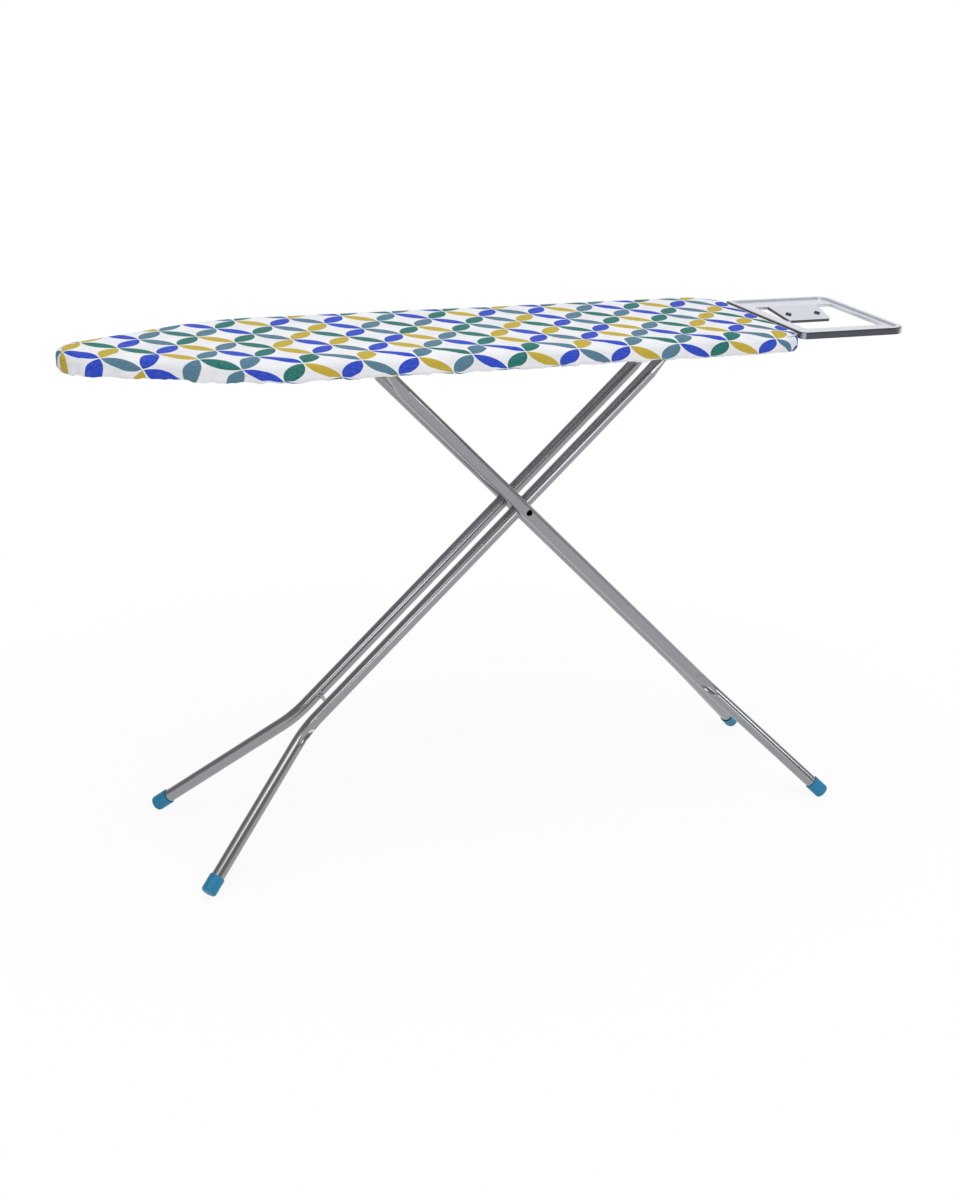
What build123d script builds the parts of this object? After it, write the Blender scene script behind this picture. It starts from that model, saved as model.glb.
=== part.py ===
from build123d import *
import os
from math import asin, atan2, cos, degrees, hypot, radians, sin, sqrt, tan

os.makedirs("parts", exist_ok=True)

# Folding ironing board. X runs from the nose to the iron rest, -Y is the user's side, the floor is Z = 0.
# The origin lies on the floor under the middle of the whole length, nose to iron rest.

# Board, cover and pad
board_length = 1200.0
board_width = 300.0
iron_height = 857.0
board_depth = 32.0
nose_radius = 48.0
nose_flank = 23.75
shoulder_radius = 400.0
tail_corner = 45.0
cover_thickness = 1.0
cover_shoulder = 14.0
cover_roll = 6.0
hem_width = 26.0
pad_thickness = 6.0

# Steel deck
deck_thickness = 1.0
rim_inset = 3.6
rim_lift = 1.0
rim_wall = 1.2
rim_corner = 2.5
rim_top_flange = 14.0
rim_bottom_flange = 7.0
mesh_margin = 24.0
mesh_pitch = 50.0
mesh_row = 19.0
mesh_long = 36.0
mesh_short = 13.0
rib_depth = 8.2
rib_wall = 1.2
rib_width = 28.0
hinge_rib_width = 48.0
tail_rib_from_tail = 55.0

# Iron rest
rest_gap = 2.0
rest_length = 208.0
rest_side = 21.0
rest_rise = 1.0
rest_sheet = 1.0
rest_flange = 11.0
rest_edge = 3.0
rest_tail_corner = 26.0
rest_board_corner = 10.0
rest_border = 10.0
rest_sink = 2.5
window_board_side = 29.0
window_tail_side = 24.0
window_front_side = 38.0
window_back_side = 54.0
window_corner = 6.0
window_collar = 5.0
tongue_root = 100.0
tongue_tip = 83.0
tongue_length = 62.0
tongue_dip = 10.5
tongue_corner = 5.0
pad_across = 12.5
pad_along = 15.0
pad_height = 1.2
pad_spacing = 58.0
pad_from_root = 36.0
pad_stem = 5.0
rest_rod = 6.0
rest_rod_inset = 17.0
rest_rod_tail = 6.0

# Legs
tube = 22.0
tube_wall = 1.0
hinge_share = 0.144
head_share = 0.3228
inner_spacing = 57.0
washer_thickness = 3.0
foot_overhang = 13.0
pivot_to_bend = 512.0
bend_to_foot = 284.0
bend_radius = 130.0
dent_length = 70.0
dent_round = 14.0
dent_depth = 5.5
crimp_length = 62.0
crimp_flat = 16.0
crimp_wide = 29.6
crimp_thick = 8.6
pin_from_bend = 56.0
pin_diameter = 6.0
pin_head = 8.8
pin_head_thick = 2.0
pin_access = 10.0
pivot_diameter = 8.0
pivot_head = 9.4
pivot_head_thick = 2.5
pivot_access = 10.6
sleeve_diameter = 12.0
washer_diameter = 18.0
folded_tilt = 1.5

# Foot caps
cap_wall = 1.7
cap_length = 30.0
cap_floor = 9.0
cap_dome = 5.0
cap_flat = 2.0

# Hinge rod and slide rod
rod = 10.0
hinge_rod_length = 150.0
rod_cap_diameter = 14.0
rod_cap_length = 4.0
clip_wall = 2.0
clip_width = 14.0
clip_foot = 12.0
clip_spacing = 118.0
glide_diameter = 12.4
glide_length = 12.0
rail_height = 16.0
rail_width = 16.0
rail_wall = 1.4
rail_lead = 12.0
rivet = 3.8
rivet_head = 7.0
rivet_head_thick = 1.5

# Height latch
latch_turn = 7.2
latch_steps = 4
latch_pitch = 28.0
latch_notch = 11.0
latch_tooth = 6.8
latch_tip = 4.5
latch_depth = 9.0
latch_plate = 3.0
latch_hub = 11.0
latch_shaft = 6.0
latch_from_rib = 18.0
latch_drop = 1.5
ear_wall = 2.0
ear_height = 12.0
ear_inner = 12.0
ear_outer = 84.0
handle_from_centre = 99.0
handle_length = 93.0
handle_height = 9.0
handle_slope = 6.0
grip_length = 46.0
grip_width = 14.0
grip_height = 15.0
grip_round = 4.0
spring_strip = 0.8
spring_width = 8.0
spring_reach = 40.0

# Clearances
fit = 0.2
pad_fit = 0.2
pin_fit = 0.1
weld_fit = 0.15
run_fit = 0.3

# Levels
total_length = board_length + rest_gap + rest_length
x_nose = -total_length / 2
x_tail = x_nose + board_length
z_deck = iron_height - cover_thickness - pad_thickness
z_sheet = z_deck - deck_thickness
z_skirt = iron_height - board_depth
z_rim = z_skirt + cover_thickness + rim_lift
z_rib_top = z_sheet - rim_wall - fit
z_rib = z_rib_top - rib_depth
z_axis = z_rib - rail_height / 2
rest_top = z_deck + rest_rise
rest_panel = rest_top - rest_sink
z_rest_rod = rest_panel - rest_sheet - run_fit - rest_rod / 2
rest_width = board_width - 2 * rest_side
rest_rod_y = rest_width / 2 - rest_rod_inset
x_tail_rib = x_tail - tail_rib_from_tail

# Leg layout: both legs have the same tilt and the same lengths above and below their crossing
tube_r = tube / 2
bore_r = tube_r - tube_wall
inner_half = inner_spacing / 2
outer_half = inner_half + tube + washer_thickness + 2 * fit
foot_spread = board_width + 2 * foot_overhang
rod_r = rod / 2
rod_rise = tube_r - crimp_thick / 2
cap_r = tube_r + fit + cap_wall
pivot_to_rod = head_share * board_length
pivot_to_foot = pivot_to_bend + bend_to_foot


def foot_level(half, lean):
    """Splay of a tube pair below its bend, and the height of the cap's end centre over the floor."""
    splay = atan2(foot_spread / 2 - half, bend_to_foot)
    fall = sin(lean) * cos(splay)
    level = cap_dome - cap_flat - cap_dome * fall + (cap_r - cap_dome) * sqrt(1 - fall * fall)
    return splay, level


# The tilt that brings the hinge rod to its height, found by turns because the cap's level depends on it
tilt = asin(z_axis / (pivot_to_rod + pivot_to_foot))
for turn in range(12):
    inner_splay, inner_level = foot_level(inner_half, tilt)
    tilt = asin((z_axis - inner_level - rod_rise * cos(tilt)) / (pivot_to_rod + pivot_to_foot))
leg_angle = degrees(tilt)
outer_splay, outer_level = foot_level(outer_half, tilt)
pivot_z = inner_level + pivot_to_foot * sin(tilt)
rod_reach = hypot(pivot_to_rod, rod_rise)
x_hinge = x_tail - hinge_share * board_length
pivot_x = x_hinge - pivot_to_rod * cos(tilt) + rod_rise * sin(tilt)
x_slide = 2 * pivot_x - x_hinge
fold = tilt - radians(folded_tilt)
rod_slope = asin((z_axis - pivot_z) / rod_reach)
x_folded = x_hinge - 2 * rod_reach * cos(rod_slope - fold)
inner_frame = Pos(pivot_x, 0, pivot_z) * Rot(0, -leg_angle, 0)
outer_frame = Pos(pivot_x, 0, pivot_z) * Rot(0, 0, 180) * Rot(0, -leg_angle, 0)


def save(name, shape):
    export_step(shape, "parts/" + name + ".step")


def group(shapes):
    return Compound(children=shapes)


def bar_y(diameter, length, x, y, z):
    return Pos(x, y, z) * Rot(90, 0, 0) * Cylinder(diameter / 2, length)


def bar_x(diameter, start, end, y, z):
    return Pos((start + end) / 2, y, z) * Rot(0, 90, 0) * Cylinder(diameter / 2, end - start)


def outline(inset):
    """Plan of the board drawn in by inset: round nose, straight flanks, wide shoulders, rounded tail."""
    half = board_width / 2
    nose = Vector(x_nose + nose_radius, 0)
    drop = half - shoulder_radius
    run = (shoulder_radius - nose_radius + cos(radians(nose_flank)) * drop) / sin(radians(nose_flank))
    shoulder = Vector(nose.X + run, drop)
    corner = Vector(x_tail - tail_corner, half - tail_corner)

    def on(center, radius, angle, side):
        a = radians(angle)
        return (center.X + radius * cos(a), side * (center.Y + radius * sin(a)))

    def arc(center, radius, start, end, side):
        turns = (start, (start + end) / 2, end)
        return ThreePointArc(*[on(center, radius, a, side) for a in turns])

    lead = 90 + nose_flank
    wide = shoulder_radius - inset
    edges = [arc(nose, nose_radius - inset, 360 - lead, lead, 1)]
    for side in (1, -1):
        edges += [
            Line(on(nose, nose_radius - inset, lead, side), on(shoulder, wide, lead, side)),
            arc(shoulder, wide, lead, 90, side),
            Line(on(shoulder, wide, 90, side), on(corner, tail_corner - inset, 90, side)),
            arc(corner, tail_corner - inset, 90, 0, side),
        ]
    edges.append(Line(on(corner, tail_corner - inset, 0, 1), on(corner, tail_corner - inset, 0, -1)))
    return Face(Wire(edges))


def slab(inset, bottom, top):
    return extrude(Pos(0, 0, bottom) * outline(inset), top - bottom, dir=(0, 0, 1))


def pillow(inset):
    """The covered board's outer form, drawn in by inset on every side."""
    body = slab(inset, z_skirt + inset, iron_height - inset)
    body = fillet(body.faces().sort_by(Axis.Z)[-1].edges(), cover_shoulder - inset)
    return fillet(body.faces().sort_by(Axis.Z)[0].edges(), cover_roll - inset)


def rod_holes(start, end, clearance):
    return [bar_x(rest_rod + 2 * clearance, start, end, s * rest_rod_y, z_rest_rod) for s in (-1, 1)]


# Cover: a skin over the whole board, its hem turned under and open in the middle; and the pad inside it
end_cut = rim_inset + rim_wall + cover_thickness
cover = pillow(0) - pillow(cover_thickness)
cover -= slab(hem_width, z_skirt - cover_thickness, z_skirt + 2 * cover_thickness)
cover -= rod_holes(x_tail - end_cut, x_tail + end_cut, run_fit)
save("cotton_cover", cover)

foam = pillow(cover_thickness + pad_fit) & slab(0, z_deck + pad_fit, iron_height)
save("foam_pad", foam)

# Deck: expanded sheet on a rim of channel section
field = outline(mesh_margin)
diamond = [(mesh_long / 2, 0), (0, mesh_short / 2), (-mesh_long / 2, 0), (0, -mesh_short / 2)]
columns = int(board_length / mesh_pitch) + 1
rows = int(board_width / mesh_row / 2) + 1
gaps = []
for row in range(-rows, rows + 1):
    shift = mesh_pitch / 2 * (row % 2)
    for column in range(columns):
        x = x_nose + column * mesh_pitch + shift
        points = [(x + dx, row * mesh_row + dy) for dx, dy in diamond]
        if all(field.is_inside((px, py, 0)) for px, py in points):
            gaps.append(Wire(Polyline(*points, close=True).edges()))
sheet = Face(outline(rim_inset).outer_wire(), gaps)
save("deck_sheet", extrude(Pos(0, 0, z_sheet) * sheet, deck_thickness, dir=(0, 0, 1)))

rim = slab(rim_inset, z_rim, z_sheet)
rim = fillet(rim.faces().sort_by(Axis.Z)[0].edges() + rim.faces().sort_by(Axis.Z)[-1].edges(), rim_corner)
rim -= slab(rim_inset + rim_wall, z_rim + rim_wall, z_sheet - rim_wall)
rim -= slab(rim_inset + rim_top_flange, z_sheet - 2 * rim_wall, z_sheet + rim_wall)
rim -= slab(rim_inset + rim_bottom_flange, z_rim - rim_wall, z_rim + 2 * rim_wall)
rim -= rod_holes(x_tail - 2 * end_cut, x_tail, fit)
save("deck_rim", rim)


def rib(x, width):
    """Channel across the deck, open upwards, its ends cut to the rim."""
    room = slab(rim_inset + rim_wall + fit, z_rib, z_rib_top)
    channel = Pos(x, 0, (z_rib + z_rib_top) / 2) * Box(width, board_width, rib_depth)
    hollow = Pos(0, 0, rib_wall) * Pos(x, 0, (z_rib + z_rib_top) / 2)
    return (channel - hollow * Box(width - 2 * rib_wall, board_width, rib_depth)) & room


x_rail_rear = x_slide + glide_diameter / 2 + rail_lead + rib_width
x_rail_nose = x_folded - glide_diameter / 2 - rail_lead - rib_width
x_rear_rib = x_rail_rear - rib_width / 2
x_nose_rib = x_rail_nose + rib_width / 2


def rivets(places, bottom, top):
    """Rivets with a round head below and a flat head above, and the holes that they sit in."""
    pieces = []
    holes = []
    for x, y in places:
        shank = Pos(x, y, (bottom + top) / 2) * Cylinder(rivet / 2, top - bottom)
        head = Pos(x, y, bottom - rivet_head_thick / 2) * Cylinder(rivet_head / 2, rivet_head_thick)
        head = fillet(head.faces().sort_by(Axis.Z)[0].edges(), rivet_head_thick * 0.6)
        upset = Pos(x, y, top + rivet_head_thick / 2) * Cylinder(rivet_head / 2, rivet_head_thick)
        pieces.append(shank + head + upset)
        holes.append(Pos(x, y, (bottom + top) / 2) * Cylinder(rivet / 2 + pin_fit, top - bottom))
    return pieces, holes


z_web = z_rib + rib_wall
clip_y = clip_spacing / 2
clip_reach = rod_r + pin_fit + clip_wall + clip_foot / 2
clip_places = [(x_hinge + i * clip_reach, j * clip_y) for i in (-1, 1) for j in (-1, 1)]
clip_pieces, clip_holes = rivets(clip_places, z_rib - clip_wall, z_web)
rail_y = outer_half + crimp_wide / 2 + washer_thickness + rail_width / 2
rail_places = [(x, j * rail_y) for x in (x_rear_rib, x_nose_rib) for j in (-1, 1)]
rail_pieces, rail_holes = rivets(rail_places, z_rib - rail_wall, z_web)
rib_holes = rod_holes(x_tail_rib - rib_width, x_tail_rib + rib_width, fit)
save("clip_rivets", group(clip_pieces))
save("rail_rivets", group(rail_pieces))
save("rib_tail", rib(x_tail_rib, rib_width) - rib_holes)
save("rib_hinge", rib(x_hinge, hinge_rib_width) - clip_holes)
save("rib_rear", rib(x_rear_rib, rib_width) - rail_holes)
save("rib_nose", rib(x_nose_rib, rib_width) - rail_holes)


# Hinge clips: a strap under the rod with a foot on each side
def clip(y):
    ring = rod_r + pin_fit
    rise = z_rib - z_axis
    feet = Pos(0, rise - clip_wall / 2) * Rectangle(2 * (ring + clip_wall + clip_foot), clip_wall)
    strap = Circle(ring + clip_wall) + Pos(0, rise / 2) * Rectangle(2 * (ring + clip_wall), rise)
    room = Circle(ring) + Pos(0, rise / 2) * Rectangle(2 * ring, rise)
    profile = Plane((x_hinge, y + clip_width / 2, z_axis), x_dir=(1, 0, 0), z_dir=(0, -1, 0))
    return extrude(profile * (feet + strap - room), clip_width) - clip_holes


save("hinge_clip_front", clip(-clip_y))
save("hinge_clip_back", clip(clip_y))


# Slide rails: channels open towards the middle, under the two ribs
def rail(side):
    length = x_rail_rear - x_rail_nose
    middle = (x_rail_rear + x_rail_nose) / 2
    channel = Pos(middle, side * rail_y, z_axis) * Box(length, rail_width, rail_height)
    hollow = Pos(middle, side * (rail_y - rail_wall), z_axis)
    return channel - hollow * Box(length, rail_width, rail_height - 2 * rail_wall) - rail_holes


save("slide_rail_front", rail(-1))
save("slide_rail_back", rail(1))


# Legs: one tube lies at +half in the leg's own frame, X up the leg, Z on the side that folds to the deck
def head_seat(half, head):
    """Where a flat rivet head meets the round inner wall of a tube."""
    return half - sqrt(bore_r * bore_r - head * head / 4) + fit


def leg_plane(x, y):
    return Plane((x, y, 0), x_dir=(0, 1, 0), z_dir=(1, 0, 0))


def run_of_tube(half, splay, length, radius, wide, thick):
    """Outer or inner form of one tube: straight, bent outwards below, crimped to one side at the top."""
    start = pivot_to_rod - crimp_length - crimp_flat
    foot = (-pivot_to_bend - length, half + length * tan(splay))
    path = FilletPolyline((start, half), (-pivot_to_bend, half), foot, radius=bend_radius)
    flat = leg_plane(start + crimp_length, half) * Pos(0, rod_rise) * Ellipse(wide / 2, thick / 2)
    body = sweep(leg_plane(start, half) * Circle(radius), path=path)
    body += loft([leg_plane(start, half) * Circle(radius), flat])
    return body + extrude(flat, crimp_flat, dir=(1, 0, 0))


def dent(half, splay, wall):
    """The lens-shaped hollow that the bender leaves on the inside of a bend."""
    corner = bend_radius * (1 / cos(splay / 2) - 1)
    middle = Vector(-pivot_to_bend, half) + Vector(sin(splay / 2), cos(splay / 2)) * corner
    centre = middle + Vector(sin(splay / 2), cos(splay / 2)) * (tube_r + dent_round - dent_depth)
    reach = dent_length / 2 + 4 * wall
    arch = ThreePointArc((-reach, 0), (0, dent_round + wall), (reach, 0))
    lens = revolve(make_face([arch, Line((reach, 0), (-reach, 0))]), Axis.X)
    return Pos(centre.X, centre.Y, 0) * Rot(0, 0, -degrees(splay / 2)) * lens


def leg_tube(half, splay, length, pin_hole, pivot_hole):
    outer = run_of_tube(half, splay, length, tube_r, crimp_wide, crimp_thick) - dent(half, splay, 0)
    bore = run_of_tube(half, splay, length, bore_r, crimp_wide - 2 * tube_wall, crimp_thick - 2 * tube_wall)
    body = outer - (bore - dent(half, splay, tube_wall))
    body -= bar_y(rod + 2 * weld_fit, 2 * crimp_wide, pivot_to_rod, half, rod_rise)
    body -= bar_y(pivot_diameter + 2 * pin_fit, 2 * tube, 0, half, 0)
    body -= bar_y(pivot_hole, tube, 0, half + tube_r, 0)
    return body - bar_y(pin_hole, tube, pin_from_bend - pivot_to_bend, half - tube_r, 0)


def foot_cap(half, splay, length):
    """Cap pushed over the tube's end, with a rounded end."""
    reach = length + cap_floor * cos(splay)
    end = (-pivot_to_bend - reach, half + reach * tan(splay), 0)
    along = Plane(end, x_dir=(0, 0, 1), z_dir=(cos(splay), -sin(splay), 0))
    shell = Pos(0, 0, cap_length / 2) * Cylinder(cap_r, cap_length)
    shell = fillet(shell.faces().sort_by(Axis.Z)[0].edges(), cap_dome)
    socket = Pos(0, 0, cap_floor + cap_length / 2) * Cylinder(tube_r + fit, cap_length)
    return along * (shell - socket)


floor = Pos(0, 0, -cap_length) * Box(3 * total_length, 3 * board_width, 2 * cap_length)
inner_length = bend_to_foot - cap_floor * cos(inner_splay)
outer_run = (pivot_z - outer_level) / sin(tilt) - pivot_to_bend
outer_length = outer_run - cap_floor * cos(outer_splay)
pin_hole = pin_diameter + 2 * pin_fit
pivot_hole = pivot_diameter + 2 * pin_fit


def mirrored(shape):
    return mirror(shape, about=Plane.XZ)


def leg_pieces(name, frame, half, splay, length, sides, outer_hole):
    """Tubes, caps and spacer pin of one leg; the pin is put in through the wide hole of the first tube."""
    tubes = (
        leg_tube(half, splay, length, pin_access, outer_hole),
        mirrored(leg_tube(half, splay, length, pin_hole, outer_hole)),
    )
    cap = foot_cap(half, splay, length)
    caps = (cap, mirrored(cap))
    for side, tube_shape, cap_shape in zip(sides, tubes, caps):
        save(name + "_tube_" + side, frame * tube_shape)
        save(name + "_foot_cap_" + side, frame * cap_shape - floor)
    seat = head_seat(half, pin_head)
    x = pin_from_bend - pivot_to_bend
    pin = bar_y(pin_diameter, 2 * seat, x, 0, 0)
    for side in (-1, 1):
        pin += bar_y(pin_head, pin_head_thick, x, side * (seat + pin_head_thick / 2), 0)
    save(name + "_spacer_pin", frame * pin)


leg_pieces("inner", inner_frame, inner_half, inner_splay, inner_length, ("back", "front"), pivot_hole)
leg_pieces("outer", outer_frame, outer_half, outer_splay, outer_length, ("front", "back"), pivot_access)

# Rods across the tops, welded into the crimped ends
save("hinge_rod", bar_y(rod, hinge_rod_length, x_hinge, 0, z_axis))
cap_y = hinge_rod_length / 2 - rod_cap_length / 2
rod_cap = Cylinder(rod_cap_diameter / 2, rod_cap_length) - Cylinder(rod_r + pin_fit, rod_cap_length)
rod_caps = [Pos(x_hinge, s * cap_y, z_axis) * Rot(90, 0, 0) * rod_cap for s in (-1, 1)]
save("hinge_rod_caps", group(rod_caps))
glide_y = rail_y + rail_width / 2 - rail_wall - run_fit - glide_length / 2
save("slide_rod", bar_y(rod, 2 * glide_y + glide_length, x_slide, 0, z_axis))
for side, name in ((-1, "front"), (1, "back")):
    roller = Cylinder(glide_diameter / 2, glide_length) - Cylinder(rod_r + pin_fit, glide_length)
    save("slide_glide_" + name, Pos(x_slide, side * glide_y, z_axis) * Rot(90, 0, 0) * roller)

# Crossing: rivet through all four tubes, sleeve between the inner pair, washer between each crossing pair
head_y = head_seat(outer_half, pivot_head)
rivet_body = bar_y(pivot_diameter, 2 * head_y, pivot_x, 0, pivot_z)
for side in (-1, 1):
    y = side * (head_y + pivot_head_thick / 2)
    rivet_body += bar_y(pivot_head, pivot_head_thick, pivot_x, y, pivot_z)
save("pivot_rivet", rivet_body)
sleeve = Cylinder(sleeve_diameter / 2, inner_spacing - tube - 2 * fit)
sleeve -= Cylinder(pivot_diameter / 2 + pin_fit, inner_spacing)
save("pivot_sleeve", Pos(pivot_x, 0, pivot_z) * Rot(90, 0, 0) * sleeve)
washer = Cylinder(washer_diameter / 2, washer_thickness)
washer -= Cylinder(pivot_diameter / 2 + pin_fit, washer_thickness)
washer_y = (inner_half + outer_half) / 2
washers = [Pos(pivot_x, s * washer_y, pivot_z) * Rot(90, 0, 0) * washer for s in (-1, 1)]
save("pivot_washers", group(washers))

# Height latch, drawn holding the slide rod and then turned clear of it
x_shaft = x_rear_rib + rib_width / 2 + latch_from_rib
z_shaft = z_rib + latch_drop
notch_floor = z_axis - rod_r - run_fit
tooth_top = notch_floor + latch_tooth
half_notch = latch_notch / 2
free = Pos(x_shaft, 0, z_shaft) * Rot(0, -latch_turn, 0) * Pos(-x_shaft, 0, -z_shaft)
hub_r = latch_hub / 2
teeth = [(x_shaft, z_shaft - hub_r / 2), (x_slide + half_notch + latch_tip, tooth_top)]
for step in range(latch_steps):
    x = x_slide - step * latch_pitch
    teeth += [(x + half_notch, notch_floor), (x - half_notch, notch_floor)]
    teeth += [(x - half_notch - 1, tooth_top), (x - half_notch - 1 - latch_tip, tooth_top)]
far = x_slide - latch_steps * latch_pitch + half_notch
low = notch_floor - latch_depth
teeth += [(far, low + latch_depth / 2), (far, low), (x_slide, low), (x_shaft, z_shaft - hub_r)]
upright = Plane((0, 0, 0), x_dir=(1, 0, 0), z_dir=(0, -1, 0))
blade = make_face(Polyline(*teeth, close=True)) + Pos(x_shaft, z_shaft) * Circle(hub_r)
blade -= Pos(x_shaft, z_shaft) * Circle(latch_shaft / 2 + pin_fit)
comb = extrude(upright * blade, latch_plate / 2, both=True)
save("latch_comb", free * comb)

shaft_start = -ear_inner - 2 * ear_wall
shaft_end = handle_from_centre + latch_plate
shaft_middle = (shaft_start + shaft_end) / 2
save("latch_shaft", bar_y(latch_shaft, shaft_end - shaft_start, x_shaft, shaft_middle, z_shaft))

lever = Pos(handle_length / 2, 0) * Rectangle(handle_length, handle_height)
lever += Circle(hub_r)
lever -= Circle(latch_shaft / 2 + pin_fit)
raised = Pos(x_shaft, handle_from_centre, z_shaft) * Rot(0, handle_slope, 0)
handle = raised * extrude(upright * lever, latch_plate / 2, both=True)
grip = Pos(handle_length - grip_length / 2 + rib_wall, 0, 0) * Box(grip_length, grip_width, grip_height)
grip = fillet(grip.edges(), grip_round)
slot = Box(handle_length + 2 * fit, latch_plate + 2 * fit, handle_height + 2 * fit)
slot = Pos(handle_length / 2, 0, 0) * slot
save("latch_handle", handle)
save("latch_grip", raised * (grip - slot))

ear_x = x_rear_rib + rib_width / 2
ear_length = latch_from_rib + hub_r
ears = []
for y in (-ear_inner, ear_outer):
    ear = Pos(ear_x + ear_length / 2, y, z_shaft) * Box(ear_length, ear_wall, ear_height)
    ears.append(ear - bar_y(latch_shaft + 2 * pin_fit, 2 * ear_wall, x_shaft, y, z_shaft))
save("latch_ears", group(ears))

lift = spring_strip / 2
spring_top = z_shaft + hub_r + run_fit + lift
press_z = z_shaft - spring_reach * sin(radians(handle_slope)) + handle_height / 2 + run_fit + 2 * lift
strip = Polyline(
    (ear_x + lift, z_rib),
    (ear_x + lift, spring_top),
    (x_shaft + hub_r, spring_top),
    (x_shaft + spring_reach, press_z),
)
leaf = extrude(upright * trace(strip, spring_strip), spring_width / 2, both=True)
save("latch_spring", Pos(0, handle_from_centre, 0) * leaf)

# Iron rest: pressed panel with a raised border, turned edges, a window and a tongue that dips into it
rest_x0 = x_tail + rest_gap
rest_x1 = rest_x0 + rest_length
rest_mid = (rest_x0 + rest_x1) / 2


def rest_plan(inset):
    plan = Rectangle(rest_length - 2 * inset, rest_width - 2 * inset)
    plan = fillet(plan.vertices().group_by(Axis.X)[0], rest_board_corner - min(inset, rest_board_corner / 2))
    return Pos(rest_mid, 0) * fillet(plan.vertices().group_by(Axis.X)[-1], rest_tail_corner - inset)


def rest_block(plan, bottom, top):
    return extrude(Pos(0, 0, bottom) * plan, top - bottom, dir=(0, 0, 1))


win_length = rest_length - window_board_side - window_tail_side
win_width = rest_width - window_front_side - window_back_side
win_x = rest_x0 + window_board_side + win_length / 2
win_y = (window_front_side - window_back_side) / 2


def window(grow):
    plan = RectangleRounded(win_length + 2 * grow, win_width + 2 * grow, window_corner + grow)
    return Pos(win_x, win_y) * plan


rest_low = rest_top - rest_flange
tray = rest_block(rest_plan(0), rest_low, rest_top)
tray = fillet(tray.faces().sort_by(Axis.Z)[-1].edges(), rest_edge)
under = rest_block(rest_plan(rest_sheet), rest_low - rest_sheet, rest_top - rest_sheet)
under = fillet(under.faces().sort_by(Axis.Z)[-1].edges(), rest_edge - rest_sheet)
under -= rest_block(rest_plan(rest_border - rest_sheet), rest_panel - rest_sheet, rest_top)
tray = tray - under - rest_block(rest_plan(rest_border), rest_panel, rest_top + rest_sheet)
collar = rest_block(window(rest_sheet), rest_panel - window_collar, rest_panel)
tray = tray + collar - rest_block(window(0), rest_low - rest_sheet, rest_top)

dip = radians(tongue_dip)
root = Plane((win_x, win_y + win_width / 2, rest_panel), x_dir=(1, 0, 0), z_dir=(0, -sin(dip), cos(dip)))


def tongue_plan(inset):
    wide = tongue_root / 2 - inset
    tip = tongue_tip / 2 - inset
    long = tongue_length - inset
    corners = [(-wide, rest_sheet), (wide, rest_sheet), (tip, -long), (-tip, -long)]
    plan = make_face(Polyline(*corners, close=True))
    return fillet(plan.vertices().group_by(Axis.Y)[0], tongue_corner - inset)


tongue = extrude(tongue_plan(0), -window_collar)
hollow = Pos(0, 0, -rest_sheet) * extrude(tongue_plan(rest_sheet), -window_collar)
tongue -= hollow + Pos(0, rest_sheet, 0) * hollow
lozenge = [(pad_across / 2, 0), (0, pad_along / 2), (-pad_across / 2, 0), (0, -pad_along / 2)]
pads = []
for side in (-1, 1):
    spot = Pos(side * pad_spacing / 2, -pad_from_root, 0)
    stem_length = rest_sheet + pad_height
    tongue -= spot * Cylinder(pad_stem / 2 + pin_fit, 4 * rest_sheet)
    pad = extrude(make_face(Polyline(*lozenge, close=True)), pad_height)
    pad += Pos(0, 0, -stem_length / 2) * Cylinder(pad_stem / 2, stem_length)
    pads.append(root * spot * pad)
rest = tray + root * tongue - rod_holes(rest_x0 - rest_sheet, rest_x0 + 2 * rest_sheet, fit)
save("iron_rest", rest)
save("rest_pads", group(pads))
corner_in = rest_tail_corner - rest_sheet
corner_off = max(0, rest_rod_y + rest_rod / 2 - rest_width / 2 + rest_tail_corner)
rod_end = rest_x1 - rest_tail_corner + sqrt(corner_in * corner_in - corner_off * corner_off) - fit
rod_start = x_tail_rib - rib_width / 2 - rest_rod_tail
for side, name in ((-1, "front"), (1, "back")):
    save("rest_rod_" + name, bar_x(rest_rod, rod_start, rod_end, side * rest_rod_y, z_rest_rod))
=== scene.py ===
from math import cos, pi, radians, sin

import bpy
from mathutils import Matrix, Quaternion, Vector, noise


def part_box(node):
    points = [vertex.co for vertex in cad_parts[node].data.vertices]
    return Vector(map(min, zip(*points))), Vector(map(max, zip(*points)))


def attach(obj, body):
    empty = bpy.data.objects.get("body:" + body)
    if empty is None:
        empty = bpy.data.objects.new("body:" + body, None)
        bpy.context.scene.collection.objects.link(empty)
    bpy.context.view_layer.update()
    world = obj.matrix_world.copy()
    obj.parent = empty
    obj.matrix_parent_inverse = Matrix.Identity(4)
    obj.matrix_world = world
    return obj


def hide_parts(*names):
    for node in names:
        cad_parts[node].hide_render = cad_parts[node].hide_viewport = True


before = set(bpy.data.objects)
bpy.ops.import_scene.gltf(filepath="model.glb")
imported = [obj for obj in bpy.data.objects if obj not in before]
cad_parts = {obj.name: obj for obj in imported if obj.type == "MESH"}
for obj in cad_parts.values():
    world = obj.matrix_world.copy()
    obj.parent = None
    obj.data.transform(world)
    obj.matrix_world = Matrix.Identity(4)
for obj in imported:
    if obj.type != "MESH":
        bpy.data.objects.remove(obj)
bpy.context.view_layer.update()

bl_info = {
    "name": "Ironing board",
    "version": (1, 0, 0),
    "blender": (4, 5, 0),
    "location": "View3D > Sidebar > Ironing board",
    "description": "Dresses the frame of a folding ironing board with its cover, pad, metals and plastics",
    "category": "Object",
}

COVER_LOW, COVER_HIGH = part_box("cotton_cover")
MM = 0.001

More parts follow.
